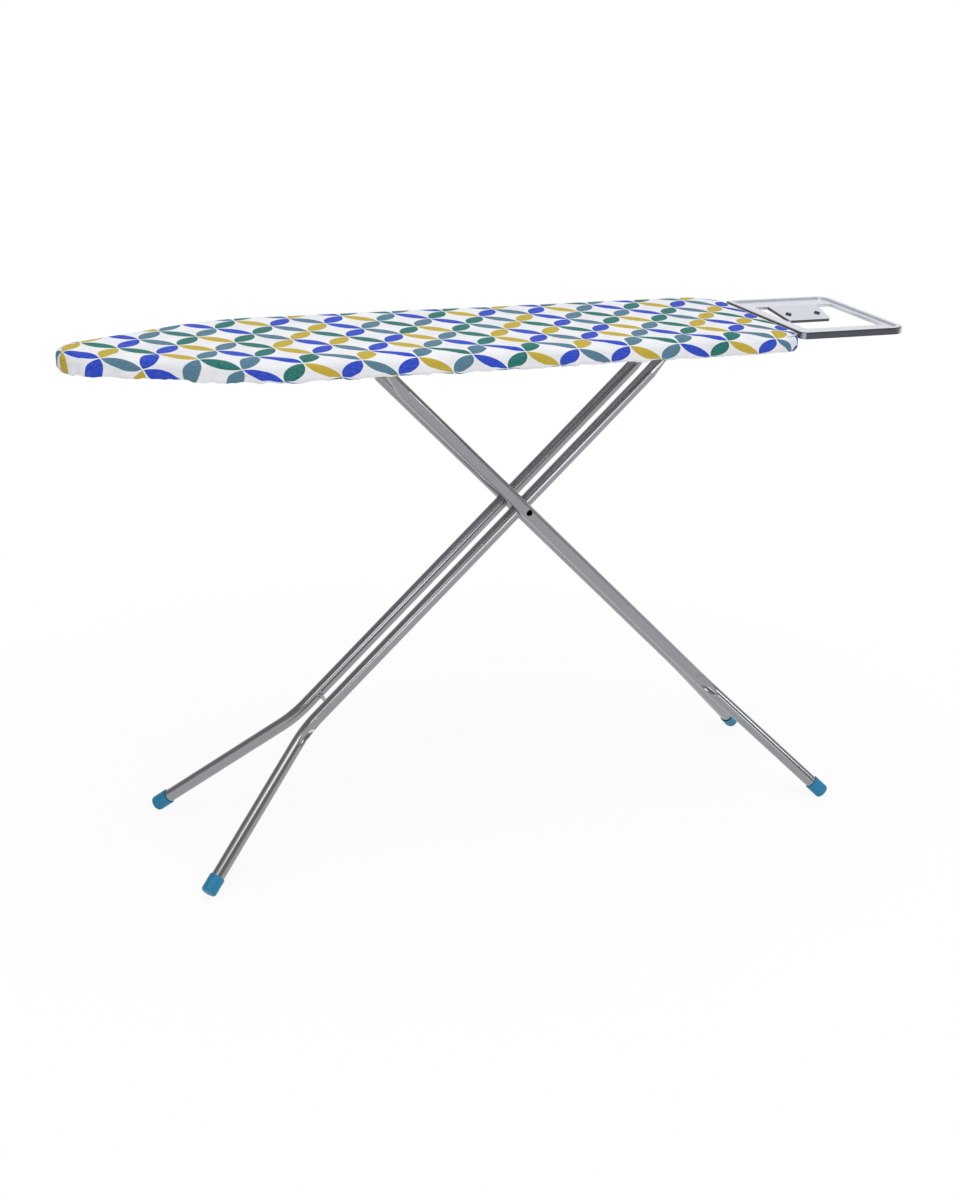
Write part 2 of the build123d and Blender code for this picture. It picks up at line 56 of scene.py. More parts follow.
# Lengths of the cover and the pad, in metres. A reach is the way that the print runs on beyond the outline,
# and an inset is the way in from it
COVER_STEP = 0.0029
PAD_STEP = 0.006
HEM_REACH = 0.052
HEM_REACH_STEP = 0.0012
UNDER_REACH = 0.0294
SKIRT_REACH = 0.02
EDGE_REACH = 0.008
TOP_INSETS = (0.019, 0.026, 0.034)
FLAT_INSET = TOP_INSETS[-1]
# The hem is rolled: its radius, how far it is flattened, and its last angle and sweep in degrees
HEM_ROLL = 0.0024
HEM_FLATTENED = 0.9
HEM_LAST_ANGLE = -70
HEM_SWEEP = 250
# How many rings of points each stretch of the cover and of the pad's flat sides has
HEM_RINGS = 7
UNDER_RINGS = 4
UNDER_ROUND_RINGS = 6
SKIRT_RINGS = 3
EDGE_ROUND_RINGS = 7
TOP_RINGS = 9
PAD_RINGS = 6
# The board's middle line, that the rings of the top run in to, ends this far from the nose and the tail
SPINE_FROM_NOSE = 0.062
SPINE_FROM_TAIL = 0.13
# Length at the tail over which the pulled cover flattens the pad
DROOP_LENGTH = 0.075
# The puckers start this far below the top and are full after the next length
PUCKER_START = 0.006
PUCKER_SPAN = 0.024
# Width of the puckers and waves, and the layer of the unevenness that each is taken from
FINE_PUCKER = (0.010, 1.7)
WIDE_PUCKER = (0.030, 7.3)
HEM_WAVE = (0.028, 3.1)
# Depth of the puckers on square edges, and what slanted edges and the nose add to it
PUCKER_PLAIN = 0.6
PUCKER_SLANTED_ADD = 0.9
PUCKER_NOSE_ADD = 0.5
# Shares of the fine and the wide puckers in a fold
FINE_SHARE = 0.8
WIDE_SHARE = 0.9
# How far the lower edge sags on the whole, and how far the waves and the fine puckers change that
SAG_PLAIN = 0.4
SAG_WAVE = 1.1
SAG_FINE = 0.35
# The lower edge hangs loose up to this place along the board, then less and less, down to the least share
LOOSE_TO = 0.1
LOOSE_FALL = 2.5
LOOSE_LEAST = 0.25
# The pad's slow swell: its width, how fast it changes with height, and its depth on the skirt, top and pad
SWELL_WIDTH = 0.09
SWELL_CHANGE = 9
SKIRT_SWELL = 0.0005
TOP_SWELL = 0.0006
PAD_SWELL = 0.0004
# The cover takes this much of the pad's space, and the pad gives way by this share of the cover's droop
COVER_ROOM = 0.0012
PAD_YIELD = 0.95
# Rings of the pad's soft edge: inset and way up from the underside, then inset and way down from the top
PAD_LOWER_EDGE = ((FLAT_INSET, 0), (0.02, 0), (0.006, 0), (0.0042, 0.0004), (0.0046, 0.0016), (0.006, 0.003))
PAD_UPPER_EDGE = ((0.0095, 0.0008), (0.014, 0.0001), (0.02, 0), (FLAT_INSET, 0))

# The print is drawn over the edge from this far inside the outline, by a growing amount. Its limit is that
# of the nose, with what the long sides add. On the -Y side it also slides along the board by this slope
PRINT_DRAWN_FROM = 0.033
PRINT_DRAWN_GROWTH = 10.5
PRINT_DRAWN_NOSE = 0.013
PRINT_DRAWN_SIDES_ADD = 0.035
PRINT_SLIDE = 0.52
# The print sits askew: its lean and turn as slopes, and the lines that they start from
PRINT_LEAN = 0.04
PRINT_LEAN_FROM = 0.024
PRINT_TURN = 0.007
PRINT_TURN_FROM = -0.670
# Shift of the print that sets where its tiles begin
PRINT_SHIFT = (0.6625, -0.031, 0)
# A petal is full up to the first share of its circles' radius and ends at the second
PETAL_FULL = 0.972
PETAL_END = 0.99
# Lines of petals in the repeat, the number of its first line, and the dyes of the petals along a line.
# Each next line starts this many petals along, and one dye on
LINES_IN_REPEAT = 6
FIRST_LINE = 1
DYE_ORDER = (0, 3, 2, 0, 3, 1, 2, 3)
PETALS_ALONG = 6

# Sizes of the patterns in millimetres. Threads are 0.4 mm in the real cloth and are drawn wider, to show
THREAD_MM = 1.6
SLUB_MM = 6.25
COTTON_CLOUD_MM = 71.43
HARD_CLOUD_MM = 55.56
# The darkest clouds on the white cotton keep this share of its colour
COTTON_CLOUD_SHADE = 0.91
# Middle of the iron rest, from which its edges face outwards
REST_MIDDLE = (0.601, 0.04, 0)

# Studio floor, in metres: it is seen this white near the object, and all white from the far distance on
FLOOR_SIZE = 120
FLOOR_NEAR = 0.4
FLOOR_FAR = 1.6
FLOOR_WHITE = 0.88
# Name, place, target, width and height, roll in degrees and power of each lamp
LAMPS = (
    ("overhead", (-0.2, -0.9, 3.3), (0, -0.2, 0), (2.4, 2.4), 0, 39),
    ("key", (-2.6, -2.4, 2.6), (0, 0, 0.4), (1.0, 1.0), 0, 8),
    ("right", (2.8, -1.8, 1.9), (0, 0, 0.4), (0.7, 0.7), 0, 8),
    ("behind", (0.6, 3.0, 2.6), (0, 0, 0.6), (1.2, 1.2), 0, 8),
    ("strip", (-0.42, -3.7, 1.3), (0, 0, 0.55), (3.2, 0.6), -20, 17),
)
# Grey of the studio's air by height, from 0 straight down to 1 straight up
AIR_GREYS = ((0.57, 1.0), (0.6, 0.5), (0.63, 0.38), (0.9, 0.34), (0.95, 0.95))
# Direction of the tall white wall
WALL_AIM = (0.55, 0.83, 0)
# The camera's place and how far it sees, in metres, and the width of its sensor
CAMERA_PLACE = (-1.25293, -2.76834, 1.54014)
SENSOR_MM = 36
VIEW_END = 300


class BoardSizes(bpy.types.PropertyGroup):
    """Sizes of the covered board, in metres."""
    nose_radius: bpy.props.FloatProperty(
        name="Nose radius", description="Radius of the rounded nose in plan", default=0.048, unit="LENGTH")
    nose_flank: bpy.props.FloatProperty(
        name="Nose flank", description="Angle of the straight flanks to the board's length",
        default=radians(23.75), subtype="ANGLE")
    shoulder_radius: bpy.props.FloatProperty(
        name="Shoulder radius", description="Radius between a flank and the long side",
        default=0.4, unit="LENGTH")
    tail_corner: bpy.props.FloatProperty(
        name="Tail corner", description="Corner radius at the square end", default=0.045, unit="LENGTH")
    edge_round: bpy.props.FloatProperty(
        name="Edge round", description="Radius of the padded top edge", default=0.014, unit="LENGTH")
    under_round: bpy.props.FloatProperty(
        name="Under round", description="Radius where the cover turns under", default=0.006, unit="LENGTH")
    hem_width: bpy.props.FloatProperty(
        name="Hem width", description="How far the cover reaches in under the board",
        default=0.026, unit="LENGTH")
    cloth: bpy.props.FloatProperty(
        name="Cloth", description="Thickness of the cotton", default=0.0007, unit="LENGTH")
    gather: bpy.props.FloatProperty(
        name="Gather", description="Depth of the puckers along the lower edge",
        default=0.0030, unit="LENGTH")
    scallop: bpy.props.FloatProperty(
        name="Scallop", description="How far the gathered lower edge hangs in waves",
        default=0.0042, unit="LENGTH")
    tail_droop: bpy.props.FloatProperty(
        name="Tail droop", description="How far the pulled cover flattens the pad at the tail",
        default=0.005, unit="LENGTH")


class PrintColours(bpy.types.PropertyGroup):
    """Colours and repeat of the petal print."""
    ground: bpy.props.StringProperty(
        name="Ground", description="Bleached cotton, sRGB hex", default="E6E7EA")
    slate: bpy.props.StringProperty(
        name="Slate", description="Grey-blue petal, sRGB hex", default="4A7489")
    green: bpy.props.StringProperty(
        name="Green", description="Teal green petal, sRGB hex", default="0A6A62")
    mustard: bpy.props.StringProperty(
        name="Mustard", description="Mustard petal, sRGB hex", default="B9A126")
    blue: bpy.props.StringProperty(
        name="Blue", description="Strong blue petal, sRGB hex", default="163EBA")
    tile_x: bpy.props.FloatProperty(
        name="Tile length", description="Length along the board that one petal takes",
        default=0.0446, unit="LENGTH")
    tile_y: bpy.props.FloatProperty(
        name="Tile width", description="Width across the board that one petal takes",
        default=0.0465, unit="LENGTH")


class HardColours(bpy.types.PropertyGroup):
    """Colours of the metal, plastic, rubber and foam pieces, sRGB hex."""
    leg: bpy.props.StringProperty(
        name="Leg", description="Silver lacquer of the tubes", default="96979A")
    rest: bpy.props.StringProperty(
        name="Rest", description="Silver lacquer of the iron rest", default="CDD0D9")
    # Colour of the painted dark reflection on the rest's bent-down edges
    painted_edge_shade: bpy.props.StringProperty(
        name="Turned edge", description="Thin lacquer on the rest's turned edges", default="4A4D55")
    deck: bpy.props.StringProperty(
        name="Deck", description="Silver-grey lacquer of the deck", default="D4D8DE")
    zinc: bpy.props.StringProperty(
        name="Zinc", description="Plated rods and rivets", default="D2D5D7")
    spring: bpy.props.StringProperty(
        name="Spring", description="Tempered spring strip", default="54585F")
    cap: bpy.props.StringProperty(
        name="Cap", description="Blue moulded foot caps", default="037BA6")
    dark: bpy.props.StringProperty(
        name="Dark", description="Dark moulded bushes", default="4A4C50")
    rubber: bpy.props.StringProperty(
        name="Rubber", description="Black rest pads", default="1B1C1E")
    foam: bpy.props.StringProperty(
        name="Foam", description="Pad under the cover", default="E6E0CF")


class StageSettings(bpy.types.PropertyGroup):
    """Floor and camera."""
    floor: bpy.props.StringProperty(name="Floor", description="Pale floor, sRGB hex", default="F4F4F5")
    lens: bpy.props.FloatProperty(name="Lens", description="Focal length in millimetres", default=57.66)
    yaw: bpy.props.FloatProperty(
        name="Yaw", description="Camera's turn to the right of +Y", default=radians(24.27), subtype="ANGLE")
    pitch: bpy.props.FloatProperty(
        name="Pitch", description="Camera's downward tilt", default=radians(20.79), subtype="ANGLE")
    roll: bpy.props.FloatProperty(
        name="Roll", description="Camera's lean", default=radians(2.80), subtype="ANGLE")


def linear(code):
    """sRGB hex to linear colour."""
    parts = [int(code[i:i + 2], 16) / 255 for i in (0, 2, 4)]
    return [c / 12.92 if c <= 0.04045 else ((c + 0.055) / 1.055) ** 2.4 for c in parts] + [1.0]


def add(tree, kind, sockets=None, out=0, stops=None, blend="LINEAR", **settings):
    """One node with its settings, its sockets as values or links, and its ramp; gives the output asked."""
    made = tree.nodes.new("ShaderNode" + kind)
    for key, value in settings.items():
        setattr(made, key, value)
    for key, value in (sockets or {}).items():
        if isinstance(value, bpy.types.NodeSocket):
            tree.links.new(value, made.inputs[key])
        else:
            made.inputs[key].default_value = value
    if stops:
        ramp = made.color_ramp
        ramp.interpolation = blend
        while len(ramp.elements) < len(stops):
            ramp.elements.new(1.0)
        for element, (place, colour) in zip(ramp.elements, stops):
            element.position = place
            element.color = colour
    return made.outputs[out]


def material(name):
    """A new material with one surface shader, its tree and that shader."""
    made = bpy.data.materials.new(name)
    made.use_nodes = True
    return made, made.node_tree, made.node_tree.nodes["Principled BSDF"]


def petal_print(tree, uv, colours):
    """The print of petals in tiles: how full the dye is at each place, and which dye it is."""
    flat = add(tree, "Mapping", {"Vector": uv, "Location": PRINT_SHIFT})
    split = add(tree, "SeparateXYZ", {0: flat}).node.outputs
    lengthways = add(tree, "Math", {0: split[0], 1: colours.tile_x}, operation="DIVIDE")
    crossways = add(tree, "Math", {0: split[1], 1: colours.tile_y}, operation="DIVIDE")
    column = add(tree, "Math", {0: lengthways}, operation="FLOOR")
    line = add(tree, "Math", {0: crossways}, operation="FLOOR")
    # Lines are counted towards -Y, within the repeat
    row = add(tree, "Math", {0: FIRST_LINE, 1: line}, operation="SUBTRACT")
    row = add(tree, "Math", {0: row, 1: LINES_IN_REPEAT}, operation="FLOORED_MODULO")
    odd = add(tree, "Math", {0: row, 1: 2.0}, operation="FLOORED_MODULO")
    # Each tile holds one petal on its diagonal, and the diagonals alternate
    place = add(tree, "Math", {0: column, 1: odd}, operation="SUBTRACT")
    lean = add(tree, "Math", {0: place, 1: 2.0}, operation="FLOORED_MODULO")
    lean = add(tree, "MapRange", {"Value": lean, "To Min": -1.0, "To Max": 1.0})
    side = add(tree, "Math", {0: lengthways}, operation="FRACT")
    side = add(tree, "Math", {0: side, 1: 0.5}, operation="SUBTRACT")
    side = add(tree, "Math", {0: side, 1: lean}, operation="MULTIPLY")
    rise = add(tree, "Math", {0: crossways}, operation="FRACT")
    rise = add(tree, "Math", {0: rise, 1: 0.5}, operation="SUBTRACT")
    length = add(tree, "Math", {0: side, 1: rise}, operation="ADD")
    width = add(tree, "Math", {0: side, 1: rise}, operation="SUBTRACT")
    # A petal is what two circles drawn about the tile's other two corners have in common
    width = add(tree, "Math", {0: width}, operation="ABSOLUTE")
    width = add(tree, "Math", {0: width, 1: 1.0}, operation="ADD")
    length2 = add(tree, "Math", {0: length, 1: length}, operation="MULTIPLY")
    circle = add(tree, "Math", {0: width, 1: width, 2: length2}, operation="MULTIPLY_ADD")
    circle = add(tree, "Math", {0: circle, 1: 0.5}, operation="MULTIPLY")
    circle = add(tree, "Math", {0: circle}, operation="SQRT")
    fade = {"Value": circle, "From Min": PETAL_FULL, "From Max": PETAL_END, "To Min": 1.0, "To Max": 0.0}
    petal = add(tree, "MapRange", fade, interpolation_type="SMOOTHSTEP")
    # A petal's number gives its dye on one ramp and the dye its colour on the next, each at a step's middle
    dyes = (colours.slate, colours.green, colours.mustard, colours.blue)
    petals = len(DYE_ORDER)
    dye_step = 1 / len(dyes)
    greys = [number * dye_step for number in DYE_ORDER]
    start = add(tree, "Math", {0: row, 1: PETALS_ALONG, 2: place}, operation="MULTIPLY_ADD")
    start = add(tree, "Math", {0: start, 1: petals}, operation="FLOORED_MODULO")
    start = add(tree, "Math", {0: start, 1: 1 / petals, 2: 0.5 / petals}, operation="MULTIPLY_ADD")
    dye = add(tree, "ValToRGB", {0: start}, blend="CONSTANT",
              stops=[(i / petals, (g, g, g, 1)) for i, g in enumerate(greys)])
    dye = add(tree, "Math", {0: row, 1: dye_step, 2: dye}, operation="MULTIPLY_ADD")
    dye = add(tree, "Math", {0: dye, 1: dye_step / 2}, operation="ADD")
    dye = add(tree, "Math", {0: dye}, operation="FRACT")
    dye = add(tree, "ValToRGB", {0: dye}, blend="CONSTANT",
              stops=[(i * dye_step, linear(code)) for i, code in enumerate(dyes)])
    return petal, dye


def printed_cotton(colours):
    """Plain-weave cotton, screen-printed with petals: matt, little sheen, its dye uneven with the slubs."""
    made, tree, shader = material("printed_cotton")
    uv = add(tree, "UVMap", uv_map="print")
    petal, dye = petal_print(tree, uv, colours)
    # At scale 1 a wave texture has twenty waves in two pi
    threads = {"Vector": uv, "Scale": 2 * pi / (THREAD_MM * MM) / 20, "Distortion": 1.2, "Detail": 2.0,
               "Detail Scale": 2.0}
    weft = add(tree, "TexWave", threads, bands_direction="X")
    warp = add(tree, "TexWave", threads, bands_direction="Y")
    weave = add(tree, "Math", {0: weft, 1: warp}, operation="MULTIPLY")
    slubs = add(tree, "TexNoise",
                {"Vector": uv, "Scale": 1 / (SLUB_MM * MM), "Detail": 4.0, "Roughness": 0.6})
    cloud = add(tree, "TexNoise", {"Vector": uv, "Scale": 1 / (COTTON_CLOUD_MM * MM), "Detail": 3.0})
    thin = add(tree, "MapRange",
               {"Value": slubs, "From Min": 0.3, "From Max": 0.7, "To Min": 0.93, "To Max": 1.0})
    petal = add(tree, "Math", {0: petal, 1: thin}, operation="MULTIPLY")
    shade = add(tree, "MapRange",
                {"Value": cloud, "From Min": 0.35, "From Max": 0.65, "To Min": 0.0, "To Max": 1.0})
    ground = linear(colours.ground)
    grey = [c * COTTON_CLOUD_SHADE for c in ground[:3]] + [1.0]
    cotton = add(tree, "Mix", {"Factor": shade, 6: grey, 7: ground}, out=2, data_type="RGBA")
    inked = add(tree, "Mix", {"Factor": petal, 6: cotton, 7: dye}, out=2, data_type="RGBA")
    tree.links.new(inked, shader.inputs["Base Color"])
    height = add(tree, "Math", {0: slubs, 1: 0.35, 2: weave}, operation="MULTIPLY_ADD")
    bump = add(tree, "Bump", {"Strength": 0.22, "Distance": 0.4 * MM, "Height": height})
    tree.links.new(bump, shader.inputs["Normal"])
    rough = add(tree, "MapRange", {"Value": weave, "To Min": 0.78, "To Max": 0.92})
    tree.links.new(rough, shader.inputs["Roughness"])
    shader.inputs["Sheen Weight"].default_value = 0.02
    shader.inputs["Sheen Roughness"].default_value = 0.5
    shader.inputs["Specular IOR Level"].default_value = 0.1
    return made


def hard_finish(name, colour, rough, metallic, grain_mm, bump_mm, spread=0.06, wander=0.1, painted_edge_shade=None):
    """A lacquered, plated, moulded or foamed surface: colour and gloss wander a little, over a grain."""
    made, tree, shader = material(name)
    place = add(tree, "TexCoord", out=3)
    # Grain finer than about 0.7 mm would not show, so moulded grit is drawn no finer than that
    grain = add(tree, "TexNoise",
                {"Vector": place, "Scale": 1 / (grain_mm * MM), "Detail": 3.0, "Roughness": 0.55})
    cloud = add(tree, "TexNoise",
                {"Vector": place, "Scale": 1 / (HARD_CLOUD_MM * MM), "Detail": 4.0, "Roughness": 0.6})
    tone = linear(colour)
    low = [c * (1 - 2 * spread) for c in tone[:3]] + [1.0]
    uneven = add(tree, "Math", {0: grain, 1: 0.5, 2: cloud}, operation="MULTIPLY_ADD")
    uneven = add(tree, "MapRange", {"Value": uneven, "From Min": 0.55, "From Max": 0.95})
    base = add(tree, "Mix", {"Factor": uneven, 6: low, 7: tone}, out=2, data_type="RGBA")
    if painted_edge_shade:
        # Painted dark reflection: the outer bent-down edges and the tongue's tip are painted dark;
        # the rounded corners are painted less dark, as a painted highlight
        facing = add(tree, "TexCoord", out=1)
        level = add(tree, "VectorMath", {0: facing, 1: (1, 1, 0)}, operation="MULTIPLY")
        arm = add(tree, "VectorMath", {0: place, 1: REST_MIDDLE}, operation="SUBTRACT")
        outward = add(tree, "VectorMath", {0: level, 1: arm}, out=1, operation="DOT_PRODUCT")
        outward = add(tree, "MapRange", {"Value": outward, "From Min": 0.006, "From Max": 0.02})
        split = add(tree, "SeparateXYZ", {0: level}).node.outputs
        slant = add(tree, "Math", {0: split[0], 1: split[1]}, operation="MULTIPLY")
        slant = add(tree, "Math", {0: slant}, operation="ABSOLUTE")
        straight = add(tree, "MapRange",
                       {"Value": slant, "From Min": 0.2, "From Max": 0.5, "To Min": 1.0, "To Max": 0.3})
        outward = add(tree, "Math", {0: outward, 1: straight}, operation="MULTIPLY")
        base = add(tree, "Mix", {"Factor": outward, 6: base, 7: linear(painted_edge_shade)}, out=2, data_type="RGBA")
    tree.links.new(base, shader.inputs["Base Color"])
    gloss = add(tree, "MapRange",
                {"Value": uneven, "To Min": rough + 0.7 * wander, "To Max": rough - 0.3 * wander})
    tree.links.new(gloss, shader.inputs["Roughness"])
    shader.inputs["Metallic"].default_value = metallic
    bump = add(tree, "Bump", {"Strength": 0.25, "Distance": bump_mm * MM, "Height": grain})
    tree.links.new(bump, shader.inputs["Normal"])
    return made


def dress(made, names):
    """Gives CAD nodes a material."""
    for name in names:
        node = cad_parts[name]
        if not node.material_slots:
            node.data.materials.append(made)
        for held in node.material_slots:
            held.material = made


def within(value, least=0.0):
    """The value, held between the least and one."""
    return min(1.0, max(least, value))


def ripple(place, width, layer):
    """Smooth uneven waves over the plan, of about this width; each layer has its own."""
    return noise.noise(Vector((place.x / width, place.y / width, layer)))


def board_edge(sizes, step):
    """Points round the covered board, from the nose's tip along +Y to the tail and back along -Y.

    Each comes with its outward normal.
    """
    half = COVER_HIGH[1]
    nose = Vector((COVER_LOW[0] + sizes.nose_radius, 0))
    lead = pi / 2 + sizes.nose_flank
    drop = half - sizes.shoulder_radius
    run = (sizes.shoulder_radius - sizes.nose_radius + cos(sizes.nose_flank) * drop) / sin(sizes.nose_flank)
    shoulder = Vector((nose.x + run, drop))
    corner = Vector((COVER_HIGH[0] - sizes.tail_corner, half - sizes.tail_corner))
    parts = [
        (nose, sizes.nose_radius, pi, lead),
        (shoulder, sizes.shoulder_radius, lead, pi / 2),
        (corner, sizes.tail_corner, pi / 2, 0),
    ]
    walk = []
    for centre, radius, first, last in parts:
        count = max(2, int(radius * abs(last - first) / step))
        arc = []
        for i in range(count + 1):
            angle = first + (last - first) * i / count
            normal = Vector((cos(angle), sin(angle)))
            arc.append((centre + normal * radius, normal))
        if walk:
            start, end = walk[-1][0], arc[0][0]
            count = int((end - start).length / step)
            walk += [(start.lerp(end, i / count), walk[-1][1]) for i in range(1, count)]
        walk += arc
    start = walk[-1][0]
    count = int(start.y / step)
    walk += [(Vector((start.x, start.y * (1 - i / count))), walk[-1][1]) for i in range(1, count + 1)]
    back = [(Vector((p.x, -p.y)), Vector((n.x, -n.y))) for p, n in walk[-2:0:-1]]
    return walk + back


def droop(sizes, x):
    """How far the pulled cover has flattened the pad near the tail."""
    t = within((x - COVER_HIGH[0] + DROOP_LENGTH) / DROOP_LENGTH)
    return sizes.tail_droop * t * t * (3 - 2 * t)


def spine_point(point):
    """The place on the board's middle line that a point of the edge runs in to."""
    low = COVER_LOW[0] + SPINE_FROM_NOSE
    high = COVER_HIGH[0] - SPINE_FROM_TAIL
    return Vector((min(high, max(low, point.x)), 0))


def drawn_in(edge, share):
    """The flat top's outline, drawn in towards the middle line by a share of the way, with the normals."""
    found = []
    for point, normal in edge:
        start = point - normal * FLAT_INSET
        found.append((start.lerp(spine_point(start), share), normal))
    return found


def print_place(flat, normal, drawn):
    """Place on the print, which sits a little askew and is drawn over the edge, less so towards the nose."""
    pull = max(0.0, 1.0 + 2.0 * min(0.0, normal.x))
    most = PRINT_DRAWN_NOSE + PRINT_DRAWN_SIDES_ADD * pull
    spot = flat + normal * min(PRINT_DRAWN_GROWTH * drawn * drawn, most)
    along = spot.x - PRINT_SLIDE * pull * drawn * max(0.0, -normal.y)
    lean = PRINT_LEAN * (PRINT_LEAN_FROM - spot.y)
    turn = PRINT_TURN * (along - PRINT_TURN_FROM)
    return along - lean, spot.y + turn


def cover_section(sizes):
    """Rings of the cover from the hem to the flat top, each as its inset, height and reach."""
    low, top = COVER_LOW[2], COVER_HIGH[2]
    hem, under, edge_round = sizes.hem_width, sizes.under_round, sizes.edge_round
    section = []
    # The rolled hem, from its tucked end round to the underside
    for i in range(HEM_RINGS):
        angle = radians(HEM_LAST_ANGLE + HEM_SWEEP * (1 - i / (HEM_RINGS - 1)))
        inset = hem - HEM_ROLL * sin(angle) * HEM_FLATTENED
        height = low + HEM_ROLL + HEM_ROLL * -cos(angle)
        section.append((inset, height, HEM_REACH + HEM_REACH_STEP * (HEM_RINGS - i)))
    for i in range(UNDER_RINGS):
        inset = hem - (hem - under) * (i + 1) / (UNDER_RINGS + 1)
        section.append((inset, low, UNDER_REACH + inset - under))
    for i in range(UNDER_ROUND_RINGS):
        angle = pi / 2 * i / (UNDER_ROUND_RINGS - 1)
        height = low + under * (1 - cos(angle))
        section.append((under * (1 - sin(angle)), height, UNDER_REACH - under * angle))
    skirt_low = low + under
    skirt_top = top - edge_round
    for i in range(1, SKIRT_RINGS + 1):
        t = i / (SKIRT_RINGS + 1)
        height = skirt_low + (skirt_top - skirt_low) * t
        section.append((0.0, height, SKIRT_REACH - (SKIRT_REACH - EDGE_REACH) * t))
    for i in range(EDGE_ROUND_RINGS):
        angle = pi / 2 * i / (EDGE_ROUND_RINGS - 1)
        height = skirt_top + edge_round * sin(angle)
        section.append((edge_round * (1 - cos(angle)), height, EDGE_REACH - edge_round * angle))
    for inset in TOP_INSETS:
        section.append((inset, top, -inset))
    return section


def cover_edge_ring(sizes, edge, inset, height, reach):
    """One ring of the cover round the board's edge, puckered and hanging, and its places on the print."""
    depth = within((COVER_HIGH[2] - PUCKER_START - height) / PUCKER_SPAN)
    hang = sizes.scallop * depth * depth * max(0.0, 1 - inset / sizes.hem_width)
    ring = []
    flat = []
    for point, normal in edge:
        # Deeper puckers along the slanted flanks, at the corners and round the nose
        slanted = abs(normal.y * normal.x)
        blunt = within(-2.0 * normal.x - 0.6)
        bend = PUCKER_PLAIN + PUCKER_SLANTED_ADD * slanted + PUCKER_NOSE_ADD * blunt
        fine = ripple(point, *FINE_PUCKER)
        wide = ripple(point, *WIDE_PUCKER)
        wave = ripple(point, *HEM_WAVE)
        fold = sizes.gather * bend * depth ** 1.5 * (FINE_SHARE * fine + WIDE_SHARE * wide)
        place = point + normal * (fold - inset)
        swell = SKIRT_SWELL * ripple(place, SWELL_WIDTH, height * SWELL_CHANGE)
        loose = within(1.0 - LOOSE_FALL * (point.x - LOOSE_TO), least=LOOSE_LEAST)
        sag = hang * loose * within(SAG_PLAIN + SAG_WAVE * wave + SAG_FINE * fine)
        z = height - sag + (swell - droop(sizes, place.x)) * (1 - depth)
        ring.append((place.x, place.y, z))
        flat.append(print_place(point + normal * reach, normal, max(0.0, reach + PRINT_DRAWN_FROM)))
    return ring, flat


def cover_top_ring(sizes, edge, share):
    """One ring of the cover's flat top, and its places on the print."""
    top = COVER_HIGH[2]
    ring = []
    flat = []
    for place, normal in drawn_in(edge, share):
        swell = TOP_SWELL * ripple(place, SWELL_WIDTH, top * SWELL_CHANGE)
        ring.append((place.x, place.y, top + swell - droop(sizes, place.x)))
        flat.append(print_place(place, normal, 0.0))
    return ring, flat


def select_only(piece):
    """Makes one object the only selected one, and the active one."""
    bpy.ops.object.select_all(action="DESELECT")
    piece.select_set(True)
    bpy.context.view_layer.objects.active = piece


def ring_piece(name, rings, uvs=None):
    """A mesh of closed rings joined in turn; doubles along the board's middle line are merged."""
    count = len(rings[0])
    points = [p for ring in rings for p in ring]
    faces = []
    for r in range(len(rings) - 1):
        for i in range(count):
            j = (i + 1) % count
            faces.append((r * count + i, r * count + j, (r + 1) * count + j, (r + 1) * count + i))
    mesh = bpy.data.meshes.new(name)
    mesh.from_pydata(points, [], faces)
    piece = bpy.data.objects.new(name, mesh)
    bpy.context.scene.collection.objects.link(piece)
    if uvs:
        flat = [p for ring in uvs for p in ring]
        layer = mesh.uv_layers.new(name="print")
        for loop in mesh.loops:
            layer.data[loop.index].uv = flat[loop.vertex_index]
    select_only(piece)
    bpy.ops.object.mode_set(mode="EDIT")
    bpy.ops.mesh.select_all(action="SELECT")
    bpy.ops.mesh.remove_doubles(threshold=0.2 * MM)
    bpy.ops.mesh.normals_make_consistent(inside=False)
    bpy.ops.object.mode_set(mode="OBJECT")
    bpy.ops.object.shade_smooth()
    return piece


def apply_modifier(piece, kind, **settings):
    """Adds a modifier, sets it and applies it."""
    select_only(piece)
    made = piece.modifiers.new(kind.title(), kind)
    for key, value in settings.items():
        setattr(made, key, value)
    bpy.ops.object.modifier_apply(modifier=made.name)


class IRON_OT_cover(bpy.types.Operator):
    """The printed cotton cover, stretched over the pad and gathered under the rim."""
    bl_idname = "ironing.cover"
    bl_label = "Cover"

    def execute(self, context):
        sizes = context.scene.board_sizes
        edge = board_edge(sizes, COVER_STEP)
        made = [cover_edge_ring(sizes, edge, *place) for place in cover_section(sizes)]
        made += [cover_top_ring(sizes, edge, i / TOP_RINGS) for i in range(1, TOP_RINGS + 1)]
        rings = [ring for ring, flat in made]
        uvs = [flat for ring, flat in made]
        piece = ring_piece("cover_cloth", rings, uvs=uvs)
        apply_modifier(piece, "SOLIDIFY", thickness=sizes.cloth, offset=-1.0)
        piece.data.materials.append(printed_cotton(context.scene.print_colours))
        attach(piece, "board")
        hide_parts("cotton_cover")
        return {"FINISHED"}


